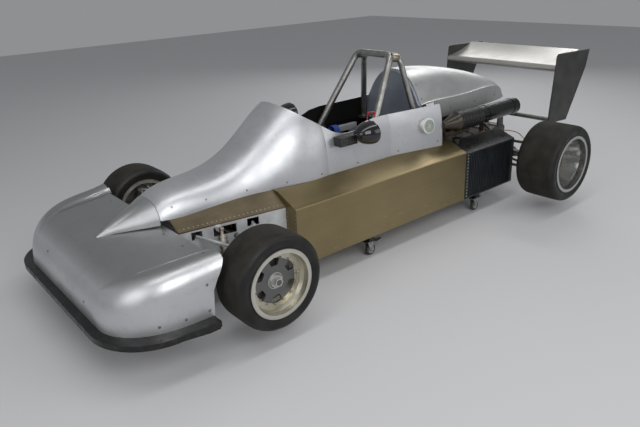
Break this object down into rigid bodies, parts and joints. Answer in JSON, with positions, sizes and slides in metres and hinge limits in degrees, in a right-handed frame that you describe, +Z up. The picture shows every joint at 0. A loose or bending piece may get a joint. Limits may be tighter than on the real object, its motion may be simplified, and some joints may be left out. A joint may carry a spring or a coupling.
{
  "type": "open wheel racing car",
  "caption": "Open wheel single-seater racing car with a full-width nose, side radiators and a rear wing, standing on a low castor dolly.",
  "frame": {"origin": "floor, under the middle of the car's box", "axes": "+X forward, +Y to the car's left, +Z up"},
  "size_m": [4.2, 1.83, 1.218],
  "materials": {
    "silver_body": "metallic lacquer over glass fibre, satin",
    "bronze_sheet": "anodised sheet, satin",
    "bare_sheet": "bare rolled sheet",
    "black_rubber": "smooth tread",
    "champagne_rim": "satin",
    "black_trim": "satin black",
    "black_metal": "satin black",
    "steel_tube": "plated tube",
    "cast_alloy": "cast",
    "grey_plate": "dark grey, satin",
    "grey_panel": "grey blue, satin",
    "black_gloss": "gloss black",
    "castor_rubber": "moulded"
  },
  "bodies": {
    "chassis": {"tub": "bronze_sheet", "front_frame": "bare_sheet", "front_deck": "bronze_sheet", "nose_shell": "silver_body", "nose_lip": "black_trim", "cockpit_body": "silver_body", "engine_cover": "silver_body", "bulkhead_panel": "grey_panel", "roll_structure": "steel_tube", "engine": "cast_alloy", "gearbox": "cast_alloy", "wing_tube": "steel_tube", "rear_wing": "silver_body", "end_plates": "grey_plate", "radiators": "black_metal", "radiator_covers": "black_metal", "silencer": "black_metal", "exhaust_pipe": "steel_tube", "filler_cap": "bare_sheet", "mirrors": "black_gloss", "seat": "grey_panel", "dash": "black_metal", "rack_housing": "cast_alloy", "front_wishbones": "steel_tube", "front_dampers": "bronze_sheet", "dolly_frame": "black_metal", "rear_uprights": "cast_alloy", "rear_links": "steel_tube", "rear_dampers": "bronze_sheet"},
    "steering_wheel": {"steering_wheel": "black_trim"},
    "steering_rack": {"steering_rack": "steel_tube"},
    "knuckle_left": {"knuckle_left": "cast_alloy"},
    "knuckle_right": {"knuckle_right": "cast_alloy"},
    "wheel_front_left": {"tyre_front_left": "black_rubber", "rim_front_left": "champagne_rim", "brake_disc_front_left": "cast_alloy"},
    "wheel_front_right": {"tyre_front_right": "black_rubber", "rim_front_right": "champagne_rim", "brake_disc_front_right": "cast_alloy"},
    "wheel_rear_left": {"tyre_rear_left": "black_rubber", "rim_rear_left": "champagne_rim", "drive_shaft_left": "steel_tube"},
    "wheel_rear_right": {"tyre_rear_right": "black_rubber", "rim_rear_right": "champagne_rim", "drive_shaft_right": "steel_tube"},
    "castor_fork_front_left": {"castor_fork_front_left": "steel_tube"},
    "castor_wheel_front_left": {"castor_wheel_front_left": "castor_rubber"},
    "castor_fork_front_right": {"castor_fork_front_right": "steel_tube"},
    "castor_wheel_front_right": {"castor_wheel_front_right": "castor_rubber"},
    "castor_fork_rear_left": {"castor_fork_rear_left": "steel_tube"},
    "castor_wheel_rear_left": {"castor_wheel_rear_left": "castor_rubber"},
    "castor_fork_rear_right": {"castor_fork_rear_right": "steel_tube"},
    "castor_wheel_rear_right": {"castor_wheel_rear_right": "castor_rubber"}
  },
  "joints": [
    {"name": "steer_left", "type": "hinge", "parent": "chassis", "child": "knuckle_left", "pos_m": [1.28, 0.7, 0.336], "axis": [0, 0, 1], "range_deg": [-18, 18]},
    {"name": "steer_right", "type": "hinge", "parent": "chassis", "child": "knuckle_right", "pos_m": [1.28, -0.7, 0.336], "axis": [0, 0, 1], "range_deg": [-18, 18]},
    {"name": "rack_slide", "type": "slide", "parent": "chassis", "child": "steering_rack", "axis": [0, 1, 0], "range_m": [-0.02827, 0.02827]},
    {"name": "column_turn", "type": "hinge", "parent": "chassis", "child": "steering_wheel", "pos_m": [0.52, 0, 0.735], "axis": [0.9215, 0, -0.3883], "range_deg": [-180, 180]},
    {"name": "roll_front_left", "type": "hinge", "parent": "knuckle_left", "child": "wheel_front_left", "pos_m": [1.28, 0.736, 0.336], "axis": [0, 1, 0], "continuous": true},
    {"name": "roll_front_right", "type": "hinge", "parent": "knuckle_right", "child": "wheel_front_right", "pos_m": [1.28, -0.736, 0.336], "axis": [0, 1, 0], "continuous": true},
    {"name": "roll_rear_left", "type": "hinge", "parent": "chassis", "child": "wheel_rear_left", "pos_m": [-1.28, 0.7635, 0.36], "axis": [0, 1, 0], "continuous": true},
    {"name": "roll_rear_right", "type": "hinge", "parent": "chassis", "child": "wheel_rear_right", "pos_m": [-1.28, -0.7635, 0.36], "axis": [0, 1, 0], "continuous": true},
    {"name": "castor_swivel_front_left", "type": "hinge", "parent": "chassis", "child": "castor_fork_front_left", "pos_m": [0.288, 0.41, 0.1], "axis": [0, 0, 1], "continuous": true},
    {"name": "castor_roll_front_left", "type": "hinge", "parent": "castor_fork_front_left", "child": "castor_wheel_front_left", "pos_m": [0.266, 0.41, 0.038], "axis": [0, 1, 0], "continuous": true},
    {"name": "castor_swivel_front_right", "type": "hinge", "parent": "chassis", "child": "castor_fork_front_right", "pos_m": [0.288, -0.41, 0.1], "axis": [0, 0, 1], "continuous": true},
    {"name": "castor_roll_front_right", "type": "hinge", "parent": "castor_fork_front_right", "child": "castor_wheel_front_right", "pos_m": [0.266, -0.41, 0.038], "axis": [0, 1, 0], "continuous": true},
    {"name": "castor_swivel_rear_left", "type": "hinge", "parent": "chassis", "child": "castor_fork_rear_left", "pos_m": [-0.808, 0.41, 0.1], "axis": [0, 0, 1], "continuous": true},
    {"name": "castor_roll_rear_left", "type": "hinge", "parent": "castor_fork_rear_left", "child": "castor_wheel_rear_left", "pos_m": [-0.83, 0.41, 0.038], "axis": [0, 1, 0], "continuous": true},
    {"name": "castor_swivel_rear_right", "type": "hinge", "parent": "chassis", "child": "castor_fork_rear_right", "pos_m": [-0.808, -0.41, 0.1], "axis": [0, 0, 1], "continuous": true},
    {"name": "castor_roll_rear_right", "type": "hinge", "parent": "castor_fork_rear_right", "child": "castor_wheel_rear_right", "pos_m": [-0.83, -0.41, 0.038], "axis": [0, 1, 0], "continuous": true}
  ],
  "couplings": [
    {"joint": "steer_right", "follows": "steer_left", "ratio": 1},
    {"joint": "rack_slide", "follows": "steer_left", "m_per_rad": -0.09},
    {"joint": "column_turn", "follows": "steer_left", "ratio": -10}
  ]
}
